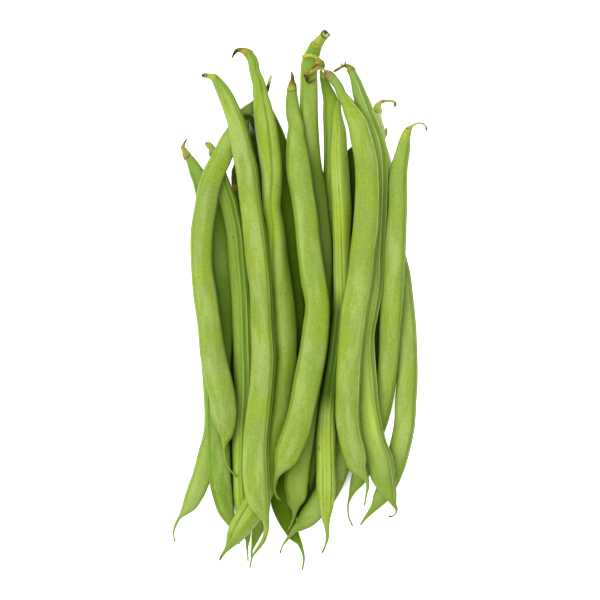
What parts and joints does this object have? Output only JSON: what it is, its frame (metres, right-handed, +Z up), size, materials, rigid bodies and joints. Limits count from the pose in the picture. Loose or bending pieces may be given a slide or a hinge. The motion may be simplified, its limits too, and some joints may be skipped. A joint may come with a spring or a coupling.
{
  "type": "green bean bundle",
  "caption": "Loose bundle of fresh green beans lying flat side by side, stalk ends together, with slim pods, seams, dry stalks and curved tail tips.",
  "frame": {"origin": "middle of the bundle's outline in plan, on the surface that it lies on", "axes": "+Y along the beans towards their stalks, +X across the bundle, +Z up from the surface"},
  "size_m": [0.0894, 0.1894, 0.0267],
  "materials": {
    "pod_skin_light": "satin, finely mottled skin",
    "pod_skin_mid": "satin, finely mottled skin",
    "pod_skin_yellow": "satin, finely mottled skin",
    "pod_skin_olive": "satin, finely mottled skin",
    "pod_skin_blue": "satin, finely mottled skin",
    "stalk": "dry, wrinkled, yellow to brown",
    "twig": "dry, wrinkled, yellow to brown"
  },
  "bodies": {
    "root": {"pod_01": "pod_skin_mid", "stalk_01": "stalk", "pod_02": "pod_skin_olive", "stalk_02": "stalk", "pod_03": "pod_skin_olive", "stalk_03": "stalk", "pod_04": "pod_skin_blue", "stalk_04": "stalk", "pod_05": "pod_skin_mid", "stalk_05": "stalk", "pod_06": "pod_skin_mid", "stalk_06": "stalk", "pod_07": "pod_skin_olive", "stalk_07": "stalk", "pod_08": "pod_skin_olive", "stalk_08": "stalk", "pod_09": "pod_skin_olive", "stalk_09": "stalk", "pod_10": "pod_skin_olive", "stalk_10": "stalk", "pod_11": "pod_skin_light", "stalk_11": "stalk", "pod_12": "pod_skin_mid", "stalk_12": "stalk", "pod_13": "pod_skin_mid", "stalk_13": "stalk", "pod_14": "pod_skin_light", "stalk_14": "stalk", "pod_15": "pod_skin_yellow", "stalk_15": "stalk", "pod_16": "pod_skin_light", "stalk_16": "stalk", "pod_17": "pod_skin_yellow", "stalk_17": "stalk", "pod_18": "pod_skin_light", "stalk_18": "stalk", "pod_19": "pod_skin_light", "stalk_19": "stalk", "pod_20": "pod_skin_light", "stalk_20": "stalk", "flower_twig": "twig"}
  },
  "joints": []
}
